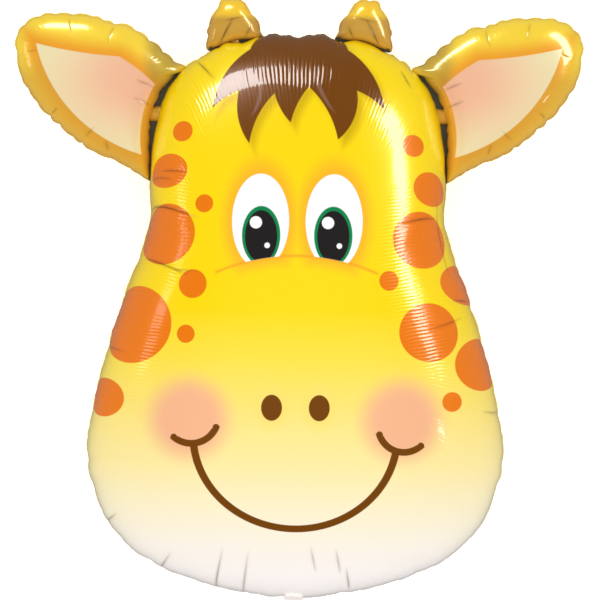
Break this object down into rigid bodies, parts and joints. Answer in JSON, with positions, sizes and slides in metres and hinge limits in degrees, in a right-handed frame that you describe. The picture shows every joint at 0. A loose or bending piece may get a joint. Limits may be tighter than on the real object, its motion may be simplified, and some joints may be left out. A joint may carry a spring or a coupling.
{
  "type": "giraffe head foil balloon",
  "caption": "Inflated foil balloon shaped as a cartoon giraffe's head with ears and horns, lying on its back.",
  "frame": {"origin": "middle of the balloon's box, on the surface that its back lies on", "axes": "+Z out of the printed face, +Y from the chin to the horns, +X across the head from ear to ear"},
  "size_m": [0.7604, 0.839, 0.3085],
  "materials": {
    "printed_foil_film": "Glossy metallised polyester film, printed yellow fading to cream, with orange spots and a simple face"
  },
  "bodies": {
    "root": {"foil_envelope": "printed_foil_film"}
  },
  "joints": []
}
